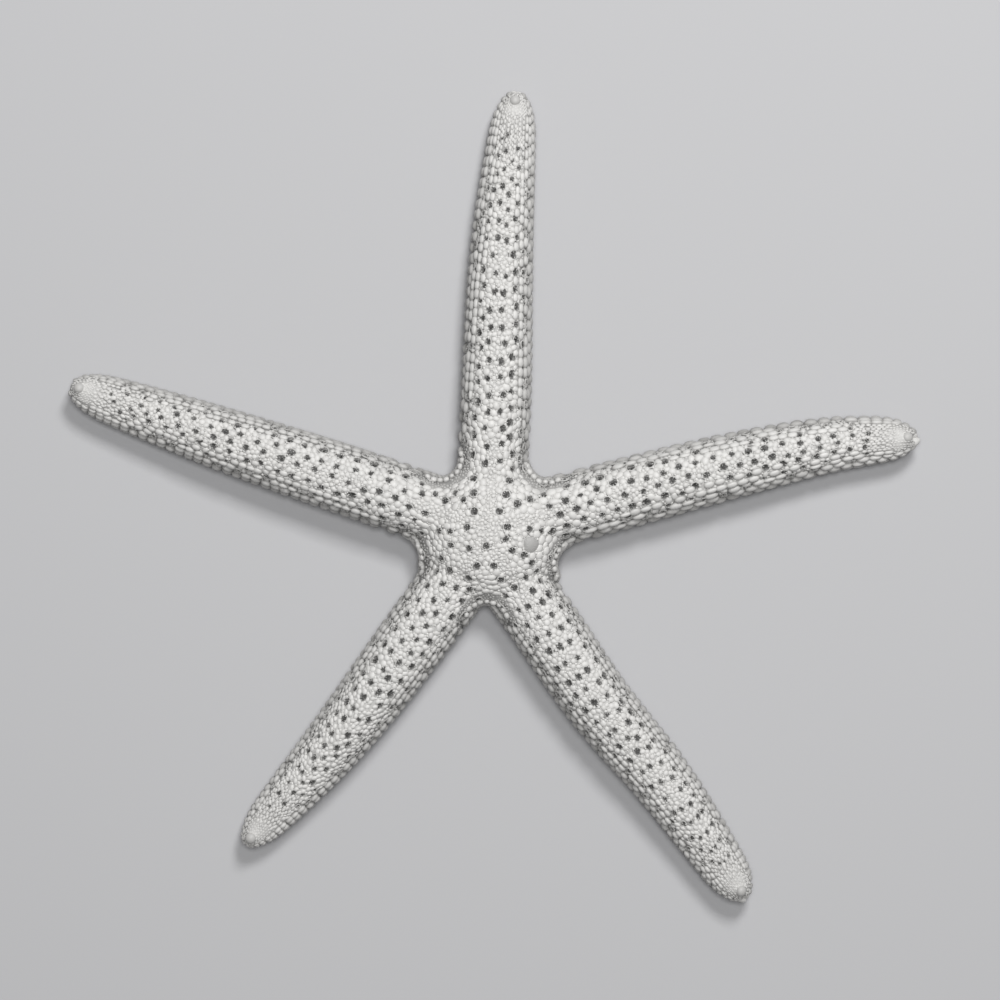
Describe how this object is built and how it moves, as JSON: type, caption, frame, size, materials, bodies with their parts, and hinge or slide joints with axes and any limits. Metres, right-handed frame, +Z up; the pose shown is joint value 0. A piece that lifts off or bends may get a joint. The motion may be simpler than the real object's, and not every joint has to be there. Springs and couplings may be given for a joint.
{
  "type": "dried starfish",
  "caption": "Dried finger starfish with a small disc and long round tapering arms, bleached off-white, lying flat on its underside.",
  "frame": {"origin": "middle of the bounding box in X and Y, on the ground that the underside rests on", "axes": "+Z up, out of the upper side; +Y runs close along one arm, away from the disc; +X is the longest way across the arms"},
  "size_m": [0.1496, 0.1428, 0.012],
  "materials": {
    "skeleton": "bleached chalky off-white calcite plates with a faint satin sheen and grey pore pits"
  },
  "bodies": {
    "root": {"starfish": "skeleton"}
  },
  "joints": []
}
